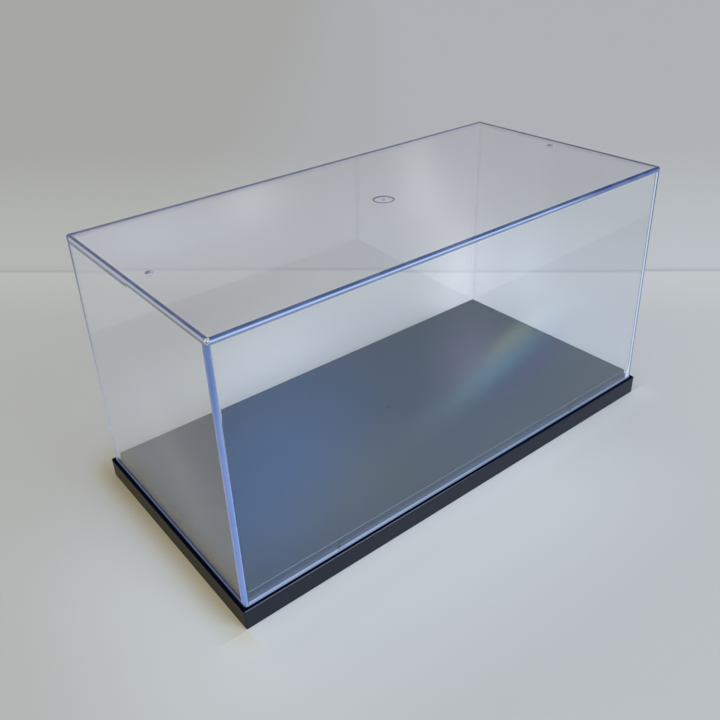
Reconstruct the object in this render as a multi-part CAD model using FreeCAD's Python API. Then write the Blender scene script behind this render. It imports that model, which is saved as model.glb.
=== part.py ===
"""Lift-off display case: one clear moulded cover standing on one black moulded base.

Millimetres, +Z up. The origin is the centre of the footprint, on the surface the case
stands on. +X runs along the case's length and +Y from its front long side to its back one.

The base is a hollow tray moulding: an outer skirt, a flat ledge that carries the cover's
rim, and a raised platform inside it. Four small lugs on the platform's long sides keep
the cover centred. The cover is a five-sided box with moulding draft, open below.
"""
import FreeCAD, Part
import os

from FreeCAD import Vector as V

# ---- base -------------------------------------------------------------------
BASE_L = 304.8            # outer length, X
BASE_W = 151.0            # outer width, Y
LEDGE_Z = 12.1            # height of the ledge that the cover stands on
PLATFORM_Z = 17.9         # height of the platform's top
BASE_WALL = 2.2           # moulded wall all over
BASE_CORNER_R = 0.8       # vertical outer corners of the skirt
BASE_TOP_R = 0.5          # outer top edge of the ledge
PLATFORM_L = 293.6
PLATFORM_W = 139.8
PLATFORM_CORNER_R = 1.2
PLATFORM_TOP_R = 0.5
FOOT_CHAMFER = 0.3        # bottom outer edge of the skirt

# ---- lugs on the platform's long sides ---------------------------------------
LUG_X = 92.0              # from the middle, both ways
LUG_W = 4.2
LUG_OUT = 1.2             # how far a lug stands out of the platform's side
LUG_Z0 = 12.1
LUG_Z1 = 16.9

# ---- moulding marks on the platform ------------------------------------------
PIN_X = 143.6
PIN_Y = (48.0, 5.0)
PIN_R = 1.1
PIN_DEPTH = 0.2
GATE_R = 1.5
GATE_DEPTH = 0.25

# ---- cover --------------------------------------------------------------------
COVER_BOTTOM_L = 301.2    # outer, at its rim
COVER_BOTTOM_W = 147.4
COVER_TOP_L = 296.7       # outer, at its top: the difference is the draft
COVER_TOP_W = 142.9
COVER_H = 143.3
COVER_WALL = 2.2          # side walls
COVER_TOP_T = 2.9         # the top is a little thicker
COVER_CORNER_R = 1.7      # outer vertical edges
COVER_INNER_R = 0.6       # inner vertical edges
COVER_TOP_R = 1.1         # outer top edges

# ---- marks under the cover's top ------------------------------------------------
WELL_R = 5.4              # round gate well in the middle of the top's underside
WELL_DEPTH = 1.0
STUB_R = 1.0              # trimmed gate stub inside the well, short of the underside
STUB_H = 0.7
EJECT_X = 136.8           # round ejector marks, also on the underside
EJECT_R = 2.0
EJECT_DEPTH = 0.5


def plate(length, width, z):
    """A closed rectangular wire of this size, centred, at this height."""
    a, b = length / 2.0, width / 2.0
    return Part.makePolygon([V(-a, -b, z), V(a, -b, z), V(a, b, z), V(-a, b, z), V(-a, -b, z)])


def prism(l0, w0, z0, l1, w1, z1):
    """A solid between two centred rectangles, flat-sided."""
    return Part.makeLoft([plate(l0, w0, z0), plate(l1, w1, z1)], True, True)


def upright(shape):
    """The four edges that run from bottom to top."""
    return [e for e in shape.Edges
            if abs(e.BoundBox.ZMax - e.BoundBox.ZMin) > 0.5 * shape.BoundBox.ZLength]


def level(shape, z):
    """The edges that lie flat at this height."""
    return [e for e in shape.Edges
            if abs(e.BoundBox.ZMax - z) < 1e-4 and abs(e.BoundBox.ZMin - z) < 1e-4]


def rounded(l0, w0, z0, l1, w1, z1, corner):
    s = prism(l0, w0, z0, l1, w1, z1)
    return s.makeFillet(corner, upright(s)) if corner else s


def make_base():
    skirt = rounded(BASE_L, BASE_W, 0, BASE_L, BASE_W, LEDGE_Z, BASE_CORNER_R)
    skirt = skirt.makeFillet(BASE_TOP_R, level(skirt, LEDGE_Z))
    skirt = skirt.makeChamfer(FOOT_CHAMFER, level(skirt, 0))
    platform = rounded(PLATFORM_L, PLATFORM_W, LEDGE_Z - 1, PLATFORM_L, PLATFORM_W,
                       PLATFORM_Z, PLATFORM_CORNER_R)
    platform = platform.makeFillet(PLATFORM_TOP_R, level(platform, PLATFORM_Z))
    body = skirt.fuse(platform)
    # hollow underside, in two steps that follow the outside
    t = BASE_WALL
    low = rounded(BASE_L - 2 * t, BASE_W - 2 * t, -1, BASE_L - 2 * t, BASE_W - 2 * t,
                  LEDGE_Z - t, 1.0)
    high = rounded(PLATFORM_L - 2 * t, PLATFORM_W - 2 * t, -1, PLATFORM_L - 2 * t,
                   PLATFORM_W - 2 * t, PLATFORM_Z - t, 1.0)
    body = body.cut(low).cut(high)
    # lugs, one solid with the platform's sides
    for sx in (-1, 1):
        for sy in (-1, 1):
            lug = Part.makeBox(LUG_W, LUG_OUT + 1.0, LUG_Z1 - LUG_Z0)
            y = PLATFORM_W / 2.0 - 1.0 if sy > 0 else -PLATFORM_W / 2.0 - LUG_OUT
            lug.translate(V(sx * LUG_X - LUG_W / 2.0, y, LUG_Z0))
            outer = PLATFORM_W / 2.0 + LUG_OUT
            top = [e for e in lug.Edges
                   if abs(abs(e.CenterOfMass.y) - outer) < 1e-6
                   and abs(e.CenterOfMass.z - LUG_Z1) < 1e-6]
            lug = lug.makeChamfer(0.8, top)      # leads the cover's rim on
            body = body.fuse(lug)
    # shallow moulding marks in the platform's top
    for sx in (-1, 1):
        for y in PIN_Y:
            body = body.cut(Part.makeCylinder(PIN_R, PIN_DEPTH + 1,
                                              V(sx * PIN_X, y, PLATFORM_Z - PIN_DEPTH)))
    body = body.cut(Part.makeCylinder(GATE_R, GATE_DEPTH + 1, V(0, 0, PLATFORM_Z - GATE_DEPTH)))
    return body.removeSplitter()


def make_cover():
    z0, z1 = LEDGE_Z, LEDGE_Z + COVER_H
    outer = rounded(COVER_BOTTOM_L, COVER_BOTTOM_W, z0, COVER_TOP_L, COVER_TOP_W, z1,
                    COVER_CORNER_R)
    outer = outer.makeFillet(COVER_TOP_R, level(outer, z1))
    # the inside keeps the same draft, so the side walls are of one thickness
    slope_l = (COVER_TOP_L - COVER_BOTTOM_L) / COVER_H
    slope_w = (COVER_TOP_W - COVER_BOTTOM_W) / COVER_H
    t = COVER_WALL
    top = COVER_H - COVER_TOP_T
    inner = rounded(COVER_BOTTOM_L - 2 * t - slope_l, COVER_BOTTOM_W - 2 * t - slope_w, z0 - 1,
                    COVER_BOTTOM_L - 2 * t + slope_l * top, COVER_BOTTOM_W - 2 * t + slope_w * top,
                    z0 + top, COVER_INNER_R)
    body = outer.cut(inner)
    ceiling = z1 - COVER_TOP_T + WELL_DEPTH
    well = Part.makeCylinder(WELL_R, WELL_DEPTH + 1, V(0, 0, ceiling - WELL_DEPTH - 1))
    stub = Part.makeCylinder(STUB_R, STUB_H + 0.2, V(0, 0, ceiling - STUB_H))
    body = body.cut(well).fuse(stub)
    for sx in (-1, 1):
        body = body.cut(Part.makeCylinder(EJECT_R, 1 + EJECT_DEPTH,
                                          V(sx * EJECT_X, 0, z1 - COVER_TOP_T - 1)))
    return body.removeSplitter()


NODES = {"base": make_base, "clear_cover": make_cover}

os.makedirs("parts", exist_ok=True)
for name, make in NODES.items():
    shape = make()
    assert shape.isValid(), name
    assert len(shape.Solids) == 1, (name, len(shape.Solids))
    shape.Solids[0].exportStep("parts/%s.step" % name)
    b = shape.optimalBoundingBox(False, False)
    print("%-12s volume %.1f cm3  x %.2f..%.2f  y %.2f..%.2f  z %.2f..%.2f"
          % (name, shape.Volume / 1000.0, b.XMin, b.XMax, b.YMin, b.YMax, b.ZMin, b.ZMax))
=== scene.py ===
import math

import bpy
from mathutils import Matrix, Vector


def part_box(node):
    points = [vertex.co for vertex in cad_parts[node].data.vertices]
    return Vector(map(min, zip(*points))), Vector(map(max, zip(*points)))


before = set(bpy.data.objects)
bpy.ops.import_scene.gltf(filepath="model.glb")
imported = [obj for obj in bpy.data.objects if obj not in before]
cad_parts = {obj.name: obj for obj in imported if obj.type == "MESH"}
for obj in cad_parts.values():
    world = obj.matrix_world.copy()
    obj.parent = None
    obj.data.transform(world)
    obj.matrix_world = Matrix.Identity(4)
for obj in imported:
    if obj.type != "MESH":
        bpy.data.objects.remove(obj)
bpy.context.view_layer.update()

scene = bpy.context.scene
scene.view_settings.view_transform = "Standard"
# a ray caught in a clear wall bounces many times on its way to an edge
scene.cycles.max_bounces = 48
scene.cycles.transmission_bounces = 48
scene.cycles.glossy_bounces = 16

# ---- camera --------------------------------------------------------------------
cam_data = bpy.data.cameras.new("camera")
cam_data.sensor_width = 36.0
cam_data.lens = 38.912
cam_data.clip_start = 0.01
cam_data.clip_end = 50.0
cam = bpy.data.objects.new("camera", cam_data)
scene.collection.objects.link(cam)
right = Vector((0.7792248, -0.62582933, -0.03385802)).normalized()
back = Vector((-0.51973226, -0.67542516, 0.52314361)).normalized()
up = back.cross(right).normalized()
right = up.cross(back).normalized()
m = Matrix((right, up, back)).transposed().to_4x4()
m.translation = Vector((-0.25757, -0.30831, 0.30036))
cam.matrix_world = m
scene.camera = cam

# ---- sizes of the case, in metres ---------------------------------------------------
COVER_LO, COVER_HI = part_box("clear_cover")
BASE_LO, BASE_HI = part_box("base")
RIM_Z, TOP_Z = COVER_LO.z, COVER_HI.z
HALF_X, HALF_Y = COVER_HI.x, COVER_HI.y          # of the cover at its rim
DRAFT = 0.00225 / (TOP_Z - RIM_Z)                # how fast the walls lean in
WALL = 0.0022
PLATFORM_Z = BASE_HI.z
LEDGE_Z = RIM_Z
PLATFORM_X, PLATFORM_Y = 0.1468, 0.0699


# ---- node helpers ----------------------------------------------------------------------
class Graph:
    def __init__(self, tree):
        self.nt = tree
        self.nt.nodes.clear()

    def node(self, kind, **props):
        n = self.nt.nodes.new(kind)
        for k, v in props.items():
            setattr(n, k, v)
        return n

    def put(self, socket, value):
        if isinstance(value, bpy.types.NodeSocket):
            self.nt.links.new(value, socket)
        else:
            socket.default_value = value

    def math(self, op, a, b=0.0, c=0.0, clamp=False):
        n = self.node("ShaderNodeMath", operation=op, use_clamp=clamp)
        self.put(n.inputs[0], a)
        self.put(n.inputs[1], b)
        if op in ("MULTIPLY_ADD", "COMPARE", "SMOOTH_MIN", "SMOOTH_MAX", "WRAP"):
            self.put(n.inputs[2], c)
        return n.outputs[0]

    def add(self, a, b): return self.math("ADD", a, b)
    def sub(self, a, b): return self.math("SUBTRACT", a, b)
    def mul(self, a, b): return self.math("MULTIPLY", a, b)
    def mad(self, a, b, c): return self.math("MULTIPLY_ADD", a, b, c)
    def lo(self, a, b): return self.math("MINIMUM", a, b)
    def hi(self, a, b): return self.math("MAXIMUM", a, b)
    def abs(self, a): return self.math("ABSOLUTE", a)

    def step(self, a, lo, hi, to=(0.0, 1.0)):
        """Smooth step of a from lo to hi."""
        n = self.node("ShaderNodeMapRange", interpolation_type="SMOOTHSTEP")
        self.put(n.inputs["Value"], a)
        self.put(n.inputs["From Min"], lo)
        self.put(n.inputs["From Max"], hi)
        self.put(n.inputs["To Min"], to[0])
        self.put(n.inputs["To Max"], to[1])
        return n.outputs["Result"]

    def bump_of(self, a, centre, width):
        """1 at centre, falling smoothly to 0 at centre ± width."""
        return self.step(self.abs(self.sub(a, centre)), width, 0.0)

    def ramp(self, a, stops):
        n = self.node("ShaderNodeValToRGB")
        self.put(n.inputs[0], a)
        cr = n.color_ramp
        cr.interpolation = "EASE"
        while len(cr.elements) > 1:
            cr.elements.remove(cr.elements[-1])
        cr.elements[0].position = stops[0][0]
        cr.elements[0].color = (*stops[0][1], 1)
        for pos, col in stops[1:]:
            e = cr.elements.new(pos)
            e.color = (*col, 1)
        return n.outputs[0]

    def mix(self, fac, a, b, blend="MIX"):
        n = self.node("ShaderNodeMix", data_type="RGBA", blend_type=blend)
        self.put(n.inputs[0], fac)
        self.put(n.inputs[6], a if isinstance(a, bpy.types.NodeSocket) else (*a, 1))
        self.put(n.inputs[7], b if isinstance(b, bpy.types.NodeSocket) else (*b, 1))
        return n.outputs[2]

    def noise(self, vec, scale, detail=2.0, rough=0.5):
        n = self.node("ShaderNodeTexNoise")
        self.put(n.inputs["Vector"], vec)
        self.put(n.inputs["Scale"], scale)
        self.put(n.inputs["Detail"], detail)
        self.put(n.inputs["Roughness"], rough)
        return n.outputs[0]

    def patches(self, obj, side, blots):
        """The sum of soft coloured patches on one flat side. side gives the two axes of the
        side; each patch is centre, half-widths, turn in degrees and colour. Lengths in mm."""
        total = None
        for ca, cb, ra, rb, turn, col in blots:
            at, size = [0.0, 0.0, 0.0], [1000.0, 1000.0, 1000.0]
            at[side[0]], at[side[1]] = ca * MM, cb * MM
            size[side[0]], size[side[1]] = ra * MM, rb * MM
            normal = 3 - side[0] - side[1]
            spin = [0.0, 0.0, 0.0]
            spin[normal] = math.radians(-turn if normal == 1 else turn)
            m = self.node("ShaderNodeMapping", vector_type="TEXTURE")
            self.put(m.inputs["Vector"], obj)
            self.put(m.inputs["Location"], at)
            self.put(m.inputs["Rotation"], spin)
            self.put(m.inputs["Scale"], size)
            d = self.node("ShaderNodeVectorMath", operation="DOT_PRODUCT")
            self.put(d.inputs[0], m.outputs[0])
            self.put(d.inputs[1], m.outputs[0])
            fade = self.math("POWER", 0.3679, d.outputs["Value"])
            n = self.node("ShaderNodeVectorMath", operation="MULTIPLY_ADD")
            self.put(n.inputs[0], col)
            self.put(n.inputs[1], fade)
            self.put(n.inputs[2], total if total else (0.0, 0.0, 0.0))
            total = n.outputs[0]
        return total

    def vmul(self, v, fac):
        n = self.node("ShaderNodeVectorMath", operation="SCALE")
        self.put(n.inputs[0], v)
        self.put(n.inputs["Scale"], fac)
        return n.outputs[0]

    def vadd(self, a, b, op="ADD"):
        n = self.node("ShaderNodeVectorMath", operation=op)
        self.put(n.inputs[0], a)
        self.put(n.inputs[1], b)
        return n.outputs[0]

    def place(self):
        """Object coordinates, and x, y, z."""
        tc = self.node("ShaderNodeTexCoord")
        sep = self.node("ShaderNodeSeparateXYZ")
        self.nt.links.new(tc.outputs["Object"], sep.inputs[0])
        return tc.outputs["Object"], sep.outputs[0], sep.outputs[1], sep.outputs[2]

    def principled(self, **vals):
        n = self.node("ShaderNodeBsdfPrincipled")
        for k, v in vals.items():
            k = k.replace("_", " ")
            if isinstance(v, tuple) and len(v) == 3:
                v = (*v, 1)
            self.put(n.inputs[k], v)
        return n


MM = 0.001


def material(name):
    mat = bpy.data.materials.new(name)
    mat.use_nodes = True
    return mat, Graph(mat.node_tree)


# ---- clear plastic -----------------------------------------------------------------------
def clear_plastic():
    """Clear polystyrene. The light that the real plastic carries out at its edges, blue from the long way it has gone,
    is painted:
    strips along its edges give off painted colours as a painted glow, and a faint painted glow lies on its outer
    faces."""
    mat, g = material("clear_plastic")
    mat.cycles.emission_sampling = "NONE"
    out = g.node("ShaderNodeOutputMaterial")
    obj, x, y, z = g.place()
    outward = g.sub(1.0, g.node("ShaderNodeNewGeometry").outputs["Backfacing"])
    # how deep a point lies behind each outer face
    lean = g.mul(g.sub(z, RIM_Z), DRAFT)
    dx = g.sub(g.sub(HALF_X, lean), g.abs(x))
    dy = g.sub(g.sub(HALF_Y, lean), g.abs(y))
    dz = g.sub(TOP_Z, z)
    db = g.sub(z, RIM_Z)
    height = g.math("DIVIDE", db, TOP_Z - RIM_Z)
    on_left, on_front = g.math("LESS_THAN", x, 0.0), g.math("LESS_THAN", y, 0.0)
    glow_streak = g.noise(obj, 90.0, 2.0)

    def strip(d, wide, soft=0.12):
        """1 where d is less than this width."""
        return g.step(d, g.mul(wide, 1.0 + soft), g.mul(wide, 1.0 - soft)) if isinstance(wide, bpy.types.NodeSocket) \
            else g.step(d, wide * (1.0 + soft), wide * (1.0 - soft))

    def pick(where, a, b):
        """b where the mask is 1, else a."""
        if isinstance(a, tuple) or isinstance(b, tuple) or getattr(a, "type", "") == "RGBA":
            return g.mix(where, a, b)
        return g.add(g.mul(g.sub(1.0, where), a), g.mul(where, b))

    thin = g.math("LESS_THAN", dx, 1.3 * MM), g.math("LESS_THAN", dy, 1.3 * MM)
    skin_x, skin_y = thin                     # near the outer end faces, near the outer long ones

    # uprights: a strip on each of the two faces that meet there, painted with the light and shade seen down the
    # corner: painted glow
    wide_side = pick(on_front, 4.4 * MM, 3.5 * MM)          # strip on the end walls
    wide_long = pick(on_left, g.step(height, 0.0, 0.09, (6.6 * MM, 4.1 * MM)), g.step(height, 0.45, 0.8, (1.65 * MM, pick(on_front, 1.9 * MM, 1.0 * MM))))          # strip on the long walls
    up = g.hi(g.mul(skin_y, g.step(dx, g.mul(wide_long, 1.06), g.mul(wide_long, 0.90))),
              g.mul(skin_x, g.mul(g.step(dy, g.mul(wide_side, 1.08), g.mul(wide_side, pick(on_front, 0.5, 0.93))), 1.0)))
    border = g.mul(g.mul(skin_y, g.mul(on_left, on_front)), g.step(dx, g.sub(wide_long, 0.50 * MM), g.sub(wide_long, 0.15 * MM)))
    # a painted dark line beside the nearest upright's strip: painted shade
    painted_dark_line = g.mul(g.step(dx, g.mul(wide_long, 1.02), g.mul(wide_long, 1.10)), g.step(dx, g.add(wide_long, 0.75 * MM), g.add(wide_long, 0.5 * MM)))
    painted_dark_line = g.mul(g.mul(g.mul(painted_dark_line, skin_y), g.mul(on_left, on_front)), g.step(height, 0.75, 0.45, (0.0, 0.5)))
    s = g.mad(g.sub(dy, dx), 1.0 / (5.2 * MM), 2.2 / 5.2)
    near_low = g.ramp(s, [(0.0, (0.18, 0.275, 0.61)), (0.74, (0.175, 0.265, 0.61)), (0.92, (0.25, 0.305, 0.505))])
    near_low = g.mix(border, near_low, (0.25, 0.345, 0.59))
    near_up = g.mix(g.step(height, 0.55, 1.0), near_low, (0.11, 0.18, 0.43))
    far_left = g.mix(g.step(height, 0.72, 1.0), (0.34, 0.37, 0.465), (0.16, 0.19, 0.29))
    right_in = g.step(dx, 2.2 * MM, 2.7 * MM)
    right_up = g.mix(right_in, g.mix(g.step(height, 0.45, 1.0), (0.185, 0.225, 0.31), (0.075, 0.10, 0.16)), (0.54, 0.60, 0.71))
    rear = g.mix(g.step(height, 0.60, 0.25), g.mix(g.step(height, 0.80, 0.62), (0.48, 0.495, 0.525), (0.52, 0.535, 0.575)), (0.69, 0.705, 0.77))
    upright_glow_col = pick(on_left, pick(on_front, rear, right_up), pick(on_front, far_left, near_up))
    upright_glow_amount = pick(on_left, pick(on_front, 0.42, 0.95), pick(on_front, 0.84, 0.94))

    # edges of the top: a strip down the walls, and a narrower one on the top, painted with the light and shade seen
    # along the edge: painted glow
    near = g.lo(dx, dy)
    skin_n, skin_t = g.math("LESS_THAN", near, 1.3 * MM), g.math("LESS_THAN", dz, 1.3 * MM)
    in_x = g.math("DIVIDE", dx, pick(on_left, 5.0 * MM, 1.9 * MM))
    in_y = g.math("DIVIDE", dy, pick(on_front, 5.4 * MM, 1.6 * MM))
    along_x = g.math("LESS_THAN", in_y, in_x)               # the long edges
    in_t = g.lo(in_x, in_y)
    in_w = g.math("DIVIDE", dz, pick(on_front, 3.9 * MM, 2.8 * MM))
    top = g.hi(g.mul(skin_n, g.step(in_w, 1.06, 0.90)), g.mul(skin_t, g.step(in_t, 1.1, 0.86)))
    a = g.mad(g.sub(in_w, in_t), 0.5, 0.5)
    # from the outside corner to the strip's inner border: a painted dark core, then a painted light line
    front_l = g.ramp(a, [(0.0, (0.11, 0.15, 0.28)), (0.14, (0.047, 0.084, 0.18)), (0.56, (0.052, 0.092, 0.195)), (0.67, (0.34, 0.44, 0.67)), (0.73, (0.50, 0.60, 0.89)), (0.79, (0.28, 0.34, 0.52)), (0.88, (0.12, 0.15, 0.24)), (1.0, (0.31, 0.36, 0.44))])
    front_r = g.ramp(a, [(0.0, (0.11, 0.15, 0.30)), (0.14, (0.022, 0.045, 0.15)), (0.54, (0.022, 0.045, 0.15)), (0.70, (0.11, 0.15, 0.33)), (0.90, (0.13, 0.16, 0.28)), (1.0, (0.28, 0.31, 0.38))])
    front_top = g.mix(g.step(x, 0.050, 0.100), front_l, front_r)
    left_top = g.ramp(a, [(0.0, (0.10, 0.12, 0.22)), (0.25, (0.075, 0.092, 0.18)), (0.36, (0.09, 0.11, 0.20)), (0.56, (0.42, 0.46, 0.60)), (0.68, (0.38, 0.41, 0.48)), (0.85, (0.18, 0.185, 0.20)), (1.0, (0.22, 0.22, 0.23))])
    back_top = g.ramp(a, [(0.0, (0.46, 0.47, 0.58)), (0.22, (0.115, 0.125, 0.185)), (0.58, (0.115, 0.125, 0.185)), (1.0, (0.34, 0.36, 0.41))])
    right_top = g.ramp(a, [(0.0, (0.38, 0.41, 0.46)), (0.22, (0.075, 0.092, 0.12)), (0.58, (0.075, 0.092, 0.12)), (1.0, (0.32, 0.35, 0.40))])
    top_edge_glow_col = pick(along_x, pick(on_left, right_top, left_top), pick(on_front, back_top, front_top))
    # the far left corner is painted a thick dark blue; on the nearest one, noise gives a painted sparkle standing in
    # for glints off its small facets
    corner = g.mul(g.step(g.hi(dx, dy), 5.0 * MM, 2.8 * MM), g.math("LESS_THAN", dz, 3.4 * MM))
    top_edge_glow_col = g.mix(g.mul(corner, g.mul(on_left, g.sub(1.0, on_front))), top_edge_glow_col, (0.062, 0.092, 0.22))
    sparkle_noise = g.noise(obj, 1300.0, 1.0)
    painted_sparkle = g.mul(g.mul(corner, g.mul(on_left, on_front)), g.step(g.add(g.add(dx, dy), dz), 3.4 * MM, 2.2 * MM))
    top_edge_glow_col = g.mix(painted_sparkle, top_edge_glow_col, g.mix(g.step(sparkle_noise, 0.46, 0.54), (0.06, 0.065, 0.09), (0.60, 0.60, 0.62)))
    top_amount = 0.94

    # the rim that stands on the base, painted with the glow and shade seen in it (painted light, darker at its foot),
    # and the light that climbs the wall from it
    rim = g.step(db, 1.35 * MM, 1.1 * MM)
    foot = g.step(db, 0.15 * MM, 0.5 * MM)
    rim_front = g.mix(g.step(x, -0.09, 0.06), (0.255, 0.315, 0.435), (0.16, 0.21, 0.30))
    rim_front = g.mix(foot, (0.12, 0.15, 0.23), rim_front)
    rim_side = g.mix(foot, (0.05, 0.06, 0.10), (0.125, 0.145, 0.235))
    rim_glow_col = pick(g.math("LESS_THAN", dy, dx), rim_side, rim_front)

    # the round well under the middle of the top and the small ejector marks: their far rims painted dark, a painted
    # shade
    far = g.mad(x, 0.61, g.mul(y, 0.79))
    r_well = g.math("SQRT", g.add(g.mul(x, x), g.mul(y, y)))
    well = g.mul(g.hi(g.step(g.abs(g.sub(r_well, 5.15 * MM)), 0.95 * MM, 0.75 * MM), g.step(r_well, 5.0 * MM, 4.6 * MM, (0.0, 0.25))), g.mul(g.step(dz, 2.1 * MM, 2.3 * MM), g.math("LESS_THAN", dz, 3.2 * MM)))
    well_shade_col = g.mix(g.step(far, -2.5 * MM, 1.5 * MM), (0.07, 0.08, 0.17), (0.03, 0.035, 0.11))
    ex = g.sub(g.abs(x), 136.8 * MM)
    r_ej = g.math("SQRT", g.add(g.mul(ex, ex), g.mul(y, y)))
    ej = g.mul(g.step(r_ej, 2.4 * MM, 1.7 * MM), g.math("LESS_THAN", dz, 0.3 * MM))
    ej = g.mul(ej, g.step(g.mad(ex, 0.61, g.mul(y, 0.79)), -0.9 * MM, 0.9 * MM, (0.25, 1.0)))
    mark = g.mul(g.hi(well, g.mul(ej, 0.85)), 0.92)
    mark_shade_col = g.mix(g.step(well, 0.0, 0.1), (0.10, 0.10, 0.15), well_shade_col)

    in_top = g.math("LESS_THAN", dz, 2.9 * MM)
    in_rim = g.math("LESS_THAN", db, 1.4 * MM)
    col = pick(in_rim, pick(g.mul(in_top, top), upright_glow_col, top_edge_glow_col), rim_glow_col)
    amount = g.hi(g.hi(g.mul(up, upright_glow_amount), g.mul(rim, 0.85)), g.mul(top, top_amount))
    # painted streaks of lighter blue in the edge glow
    col = g.mix(g.step(glow_streak, 0.35, 0.75, (0.0, 0.10)), col, (0.45, 0.51, 0.72))
    col = g.mix(g.math("GREATER_THAN", mark, 0.01), col, mark_shade_col)
    amount = g.hi(amount, mark)
    col = g.mix(g.mul(g.math("GREATER_THAN", painted_dark_line, 0.01), g.math("LESS_THAN", amount, 0.3)), col, (0.03, 0.05, 0.10))
    amount = g.hi(amount, painted_dark_line)

    # painted shade: the top's outer face, and a patch high up on the front half of the right wall, pass less light
    tint = g.mix(g.math("LESS_THAN", dz, 0.3 * MM), (1.0, 1.0, 1.0), (0.87, 0.87, 0.90))
    right_wall_shade = g.mul(g.mul(g.math("LESS_THAN", dx, 0.3 * MM), g.sub(1.0, on_left)), g.step(y, 22 * MM, -8 * MM))
    right_wall_shade = g.mul(right_wall_shade, g.step(z, 85 * MM, 120 * MM))
    tint = g.mix(right_wall_shade, tint, (0.86, 0.87, 0.87))
    glass = g.principled(Base_Color=tint, Roughness=0.0, IOR=1.59, Transmission_Weight=1.0)
    # the strips: a dull surface that gives off their painted colours as a painted glow
    edge = g.principled(Base_Color=g.mix(1.0, col, (0.5, 0.5, 0.5), "MULTIPLY"), Roughness=0.2, IOR=1.5, Specular_IOR_Level=0.06, Emission_Color=col, Emission_Strength=0.6)
    body = g.node("ShaderNodeMixShader")
    g.put(body.inputs[0], amount)
    g.put(body.inputs[1], glass.outputs[0])
    g.put(body.inputs[2], edge.outputs[0])

    # a faint painted glow lies on the outer faces: soft bands of colour, mostly blue, given off as emission, standing
    # in
    #     for the window-lit floor mirrored in the walls and the colours of the strain left in the moulding
    face = 0.3 * MM
    on_top = g.math("LESS_THAN", dz, face)
    on_end, on_long = g.math("LESS_THAN", dx, face), g.math("LESS_THAN", dy, face)
    low = g.step(z, 95 * MM, 25 * MM)
    front_glow = g.patches(obj, (0, 2), (
        (0, 60, 220, 90, 0, (0.0, 0.02, 0.05)),
        (-130, 80, 55, 58, 0, (0.01, 0.04, 0.12)),
        (18, 76, 42, 10, 14, (0.028, 0.065, 0.085)),
        (30, 90, 28, 7, 12, (0.055, 0.06, 0.02)),
        (44, 66, 34, 12, 12, (-0.015, -0.008, 0.022)),
        (-6, 92, 22, 20, 0, (0.032, 0.024, 0.042)),
        (-78, 50, 45, 32, 0, (0.016, 0.010, -0.006)),
    ))
    back_glow = g.patches(obj, (0, 2), (
        (-40, 45, 55, 30, 0, (0.085, 0.09, 0.085)),
        (130, 42, 25, 50, 0, (0.16, 0.135, 0.145)),
    ))
    right_glow = g.patches(obj, (1, 2), (
        (65, 50, 16, 60, 0, (0.065, 0.065, 0.085)),
        (20, 60, 25, 35, 0, (0.055, 0.06, 0.10)),
    ))
    left_glow = g.patches(obj, (1, 2), (
        (0, 90, 100, 70, 0, (0.002, 0.008, 0.025)),
        (-20, 65, 34, 18, 50, (0.022, 0.018, 0.006)),
    ))
    top_glow = g.patches(obj, (0, 1), (
        (0, 0, 260, 120, 0, (0.012, 0.01, 0.02)),
        (-120, 40, 45, 42, 40, (0.05, 0.062, 0.09)),
        (-55, 45, 18, 40, -35, (0.06, 0.065, 0.07)),
        (29, 1, 100, 15, 51, (0.078, 0.062, 0.066)),
    ))
    plain = g.vmul((0.055, 0.062, 0.070), low)
    # painted glow: light that climbs the wall from the rim
    climb_front = g.math("POWER", 0.3679, g.mul(g.hi(g.sub(db, 1.3 * MM), 0.0), 1.0 / (1.9 * MM)))
    climb_front = g.mul(g.mul(climb_front, g.step(x, -0.10, 0.10, (1.0, 0.6))), g.step(db, 5.4 * MM, 4.2 * MM))
    # painted shadow: the two front lugs stop that painted glow
    lug_l, lug_r = g.bump_of(x, -95.0 * MM, 1.5 * MM), g.bump_of(x, 87.5 * MM, 1.8 * MM)
    foot_l = g.mul(g.bump_of(x, -92.5 * MM, 3.2 * MM), g.step(db, 2.6 * MM, 2.0 * MM))
    lug_shadow = g.mul(g.hi(g.hi(lug_l, lug_r), g.mul(foot_l, 0.7)), g.mul(g.step(db, 5.2 * MM, 4.4 * MM), g.step(db, 0.6 * MM, 1.2 * MM)))
    climb_side = g.math("POWER", 0.3679, g.mul(g.sub(db, 1.3 * MM), 1.0 / (3.0 * MM)))
    long_glow = g.mix(on_front, g.vadd(back_glow, plain), g.vadd(front_glow, g.vmul((0.165, 0.215, 0.315), climb_front)))
    end_glow = g.mix(on_left, g.vadd(right_glow, plain), g.vadd(left_glow, g.vmul((0.04, 0.05, 0.09), climb_side)))
    painted_glow_col = g.mix(on_top, g.mix(on_end, long_glow, end_glow), top_glow)
    painted_glow_col = g.vadd(painted_glow_col, (0.0, 0.0, 0.0), "MAXIMUM")
    painted_glow_col = g.vmul(painted_glow_col, g.mad(g.mul(lug_shadow, on_front), -0.85, 1.0))
    painted_glow = g.node("ShaderNodeEmission")
    g.put(painted_glow.inputs["Color"], painted_glow_col)
    g.put(painted_glow.inputs["Strength"], g.mul(g.hi(on_top, g.hi(on_end, on_long)), g.sub(1.0, amount)))
    both = g.node("ShaderNodeAddShader")
    g.put(both.inputs[0], body.outputs[0])
    g.put(both.inputs[1], painted_glow.outputs[0])
    body = both

    lamp = g.node("ShaderNodeBsdfTransparent")
    g.put(lamp.inputs["Color"], (0.955, 0.96, 0.97, 1))
    path = g.node("ShaderNodeLightPath")
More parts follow.
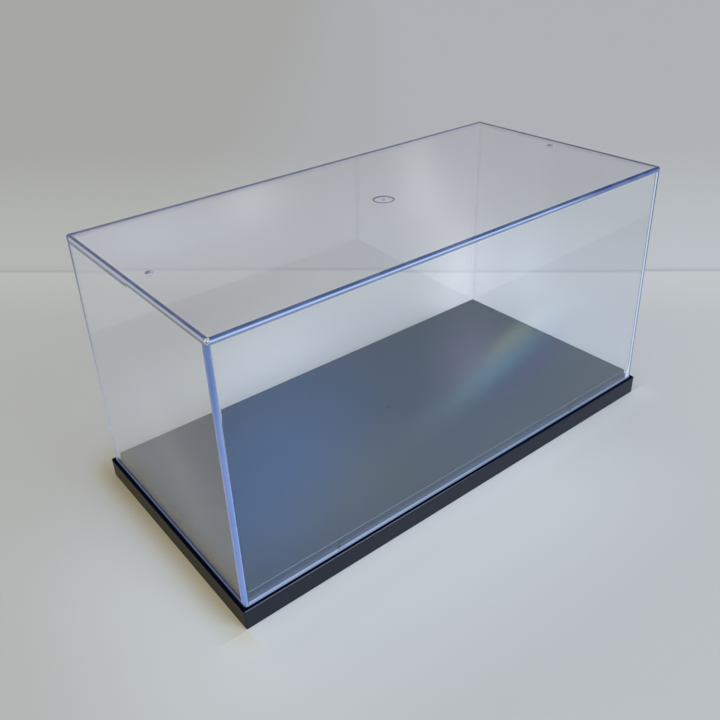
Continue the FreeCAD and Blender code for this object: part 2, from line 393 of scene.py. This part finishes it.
    # lamps, and the soft light from all round, go straight through
    last = body
    for ray in ("Is Shadow Ray", "Is Diffuse Ray"):
        mix = g.node("ShaderNodeMixShader")
        g.put(mix.inputs[0], path.outputs[ray])
        g.put(mix.inputs[1], last.outputs[0])
        g.put(mix.inputs[2], lamp.outputs[0])
        last = mix
    g.put(out.inputs["Surface"], last.outputs[0])
    ab = g.node("ShaderNodeVolumeAbsorption")
    ab.inputs["Color"].default_value = (0.45, 0.62, 1.0, 1)
    ab.inputs["Density"].default_value = 8.0
    g.put(out.inputs["Volume"], ab.outputs[0])
    return mat


# ---- black plastic --------------------------------------------------------------------------
def black_plastic():
    """Black polystyrene. The skirt is smooth. The platform has a finer, greyer finish."""
    mat, g = material("black_plastic")
    out = g.node("ShaderNodeOutputMaterial")
    obj, x, y, z = g.place()
    grain = g.noise(obj, 900.0, 3.0, 0.6)
    on_top = g.step(z, PLATFORM_Z - 0.6 * MM, PLATFORM_Z - 0.15 * MM)
    ledge = g.mul(g.step(z, LEDGE_Z - 0.25 * MM, LEDGE_Z - 0.05 * MM), g.sub(1.0, on_top))
    on_long = g.step(g.sub(BASE_HI.y, g.abs(y)), 0.6 * MM, 0.3 * MM)
    skirt = g.mul(g.step(z, LEDGE_Z - 0.35 * MM, LEDGE_Z - 0.6 * MM), on_long)
    fade = g.step(x, 0.06, -0.05)                     # the window lights the near part best
    # painted shade: near black from just under the ledge upwards, except on the long faces and the platform's top
    collar = g.mul(g.step(z, LEDGE_Z - 1.25 * MM, LEDGE_Z - 0.95 * MM), g.mul(g.sub(1.0, on_top), g.sub(1.0, on_long)))
    riser = g.mul(g.step(z, LEDGE_Z + 0.3 * MM, LEDGE_Z + 0.6 * MM), g.sub(1.0, on_top))
    dark = g.hi(collar, riser)
    # rounded edges round the ledge and round the platform's top: glossier, and painted lighter at the front as a
    # painted highlight
    lip_highlight = g.mul(g.bump_of(z, LEDGE_Z - 0.25 * MM, 0.3 * MM), g.step(g.hi(g.sub(g.abs(x), 151.6 * MM), g.sub(g.abs(y), 74.7 * MM)), 0.0, 0.2 * MM))
    lip_highlight = g.mul(g.mul(lip_highlight, on_long), fade)
    px = g.sub(g.abs(x), 143.6 * MM)
    pin = None
    for py in (48.0, 5.0):
        e = g.sub(y, py * MM)
        r = g.math("SQRT", g.add(g.mul(px, px), g.mul(e, e)))
        pin = r if pin is None else g.lo(pin, r)
    gate = g.math("SQRT", g.add(g.mul(x, x), g.mul(y, y)))
    brow_highlight = g.mul(g.bump_of(z, PLATFORM_Z - 0.32 * MM, 0.28 * MM), g.math("LESS_THAN", y, 0.069))
    brow_highlight = g.mul(brow_highlight, g.math("GREATER_THAN", g.lo(pin, gate), 3.0 * MM))
    brow_highlight = g.mul(brow_highlight, g.mad(g.math("LESS_THAN", y, -0.068), 0.6, 0.4))
    shiny = g.hi(lip_highlight, brow_highlight)
    # painted shade: the pin marks and the gate on the platform painted near black
    mark = g.mul(g.hi(g.step(pin, 3.0 * MM, 1.5 * MM), g.step(gate, 3.2 * MM, 1.6 * MM)), on_top)
    # painted light: the skirt's long faces bluish where the window lights them, the ends brownish, the ledge a painted
    # dark navy
    plain = g.mix(on_top, g.mix(ledge, g.mix(skirt, (0.004, 0.0035, 0.002), (0.009, 0.011, 0.020)), (0.001, 0.006, 0.032)), (0.0065, 0.009, 0.011))
    colour = g.mix(g.mul(g.step(grain, 0.3, 0.8, (0.0, 0.12)), g.sub(1.0, ledge)), plain, g.mix(on_top, (0.014, 0.015, 0.017), (0.03, 0.031, 0.034)))
    colour = g.mix(dark, colour, (0.001, 0.003, 0.013))
    # painted highlights along the platform's and the ledge's front edges
    colour = g.mix(brow_highlight, colour, (0.13, 0.145, 0.17))
    colour = g.mix(lip_highlight, colour, (0.07, 0.07, 0.075))
    # painted shade at the lugs on the platform's long sides
    lug = g.mul(g.bump_of(g.abs(x), 92.0 * MM, 2.6 * MM), g.math("GREATER_THAN", g.abs(y), 70.0 * MM))
    mark = g.hi(mark, g.mul(g.math("GREATER_THAN", lug, 0.01), riser))
    colour = g.mix(mark, colour, (0.001, 0.001, 0.001))
    p = g.principled(Base_Color=colour, IOR=1.5)
    gloss = g.mad(on_top, 0.085, g.mad(skirt, g.mad(fade, 0.06, 0.095), g.mad(ledge, -0.025, 0.066)))
    gloss = g.mul(gloss, g.mad(dark, -0.9, 1.0))
    gloss = g.mul(g.hi(gloss, g.mul(shiny, 0.6)), g.mad(mark, -0.85, 1.0))
    g.put(p.inputs["Specular IOR Level"], gloss)
    g.put(p.inputs["Roughness"], g.lo(g.mad(g.sub(grain, 0.5), 0.10, g.mad(on_top, 0.10, 0.24)), g.mad(shiny, -0.3, 0.45)))
    bump = g.node("ShaderNodeBump")
    g.put(bump.inputs["Strength"], 0.12)
    g.put(bump.inputs["Distance"], 0.00005)
    g.put(bump.inputs["Height"], grain)
    g.put(p.inputs["Normal"], bump.outputs[0])
    g.put(out.inputs["Surface"], p.outputs[0])
    return mat


def dress(name, mat):
    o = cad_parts[name]
    o.data.materials.clear()
    o.data.materials.append(mat)
    return o


cover = dress("clear_cover", clear_plastic())
base = dress("base", black_plastic())

# ---- stage -----------------------------------------------------------------------------------
mesh = bpy.data.meshes.new("floor")
S = 12.0
mesh.from_pydata([(-S, -S, 0), (S, -S, 0), (S, S, 0), (-S, S, 0)], [], [(0, 1, 2, 3)])
floor = bpy.data.objects.new("floor", mesh)
scene.collection.objects.link(floor)
mat, g = material("floor")
out = g.node("ShaderNodeOutputMaterial")
obj, x, y, z = g.place()
# the table's far edge, a straight line behind the case, with a slightly greyer plain beyond
beyond = g.sub(g.mad(x, 0.678, g.mul(y, 0.735)), 0.2391)
across = g.mad(x, 0.779, g.mul(y, -0.626))        # from the left of the table to its right
warm = g.step(across, -0.26, 0.10)
near_col = g.mix(g.step(beyond, -0.11, 0.0), (0.69, 0.695, 0.70), (0.755, 0.76, 0.75))
far_col = g.mix(g.step(beyond, 0.0, 0.45), (0.70, 0.71, 0.72), (0.585, 0.58, 0.59))
colour = g.mix(g.step(beyond, -0.001, 0.002), near_col, far_col)
# painted light: the left of the table warmer and darker
colour = g.mix(1.0, colour, g.mix(warm, (0.90, 0.87, 0.80), (1.0, 1.0, 1.0)), "MULTIPLY")
# the window's light thrown down by the cover's walls, in front and at the left
out_x = g.hi(g.sub(g.abs(x), BASE_HI.x), 0.0)
out_y = g.hi(g.sub(g.abs(y), BASE_HI.y), 0.0)
gap = g.math("SQRT", g.add(g.mul(out_x, out_x), g.mul(out_y, out_y)))
colour = g.mix(g.mul(g.bump_of(beyond, 0.0015, 0.005), 0.45), colour, (0.40, 0.41, 0.42))
# soft shade where the floor meets the left end
shade = g.mul(g.step(gap, 0.017, 0.0), g.step(x, -0.150, -0.154))
colour = g.mix(shade, colour, (0.92, 0.87, 0.70), "MULTIPLY")
# painted light: the floor just in front of the base lighter
kick = g.mul(g.step(gap, 0.022, 0.001), g.math("LESS_THAN", y, BASE_LO.y))
colour = g.mix(g.mul(kick, 0.09), colour, (1.0, 1.0, 1.0), "ADD")
thrown = g.mul(g.mul(g.step(gap, 0.11, 0.012), g.step(x, 0.14, 0.02)), g.step(y, 0.10, -0.03))
colour = g.mix(g.mul(thrown, 0.125), colour, (0.92, 1.0, 1.1), "ADD")
p = g.principled(Base_Color=colour, Roughness=0.6)
g.put(out.inputs["Surface"], p.outputs[0])
mesh.materials.append(mat)

# ---- light -----------------------------------------------------------------------------------
world = bpy.data.worlds.new("world")
scene.world = world
world.use_nodes = True
g = Graph(world.node_tree)
out = g.node("ShaderNodeOutputWorld")
bg = g.node("ShaderNodeBackground")
tc = g.node("ShaderNodeTexCoord")
sep = g.node("ShaderNodeSeparateXYZ")
g.put(sep.inputs[0], tc.outputs["Generated"])
side = g.step(g.mad(sep.outputs[0], 0.7, g.mul(sep.outputs[1], -0.7)), -0.9, 0.9)
tint = g.mix(side, (0.42, 0.39, 0.34), (0.40, 0.425, 0.46))
g.put(bg.inputs["Color"], tint)
g.put(bg.inputs["Strength"], g.step(sep.outputs[2], 0.62, 1.0, (1.0, 0.34)))
g.put(out.inputs["Surface"], bg.outputs[0])


def sun(name, azimuth, elevation, angle, energy, colour):
    """A soft lamp that shines from this side: azimuth from +X towards +Y, in degrees."""
    d = bpy.data.lights.new(name, "SUN")
    d.angle = math.radians(angle)
    d.energy = energy
    d.color = colour
    o = bpy.data.objects.new(name, d)
    scene.collection.objects.link(o)
    a, e = math.radians(azimuth), math.radians(elevation)
    way = Vector((math.cos(a) * math.cos(e), math.sin(a) * math.cos(e), math.sin(e)))
    o.rotation_euler = way.to_track_quat("Z", "Y").to_euler()
    return o


window = sun("window", -68, 27, 36, 1.30, (0.80, 1.18, 1.76))
room = sun("room", -140, 45, 75, 1.0, (1.155, 1.02, 0.71))
# neither disc is seen straight through the clear plastic, and the broad one doesn't mirror
# in it. The window's disc does mirror in it, and the platform's sheen comes from it.
window.visible_transmission = room.visible_transmission = room.visible_glossy = False
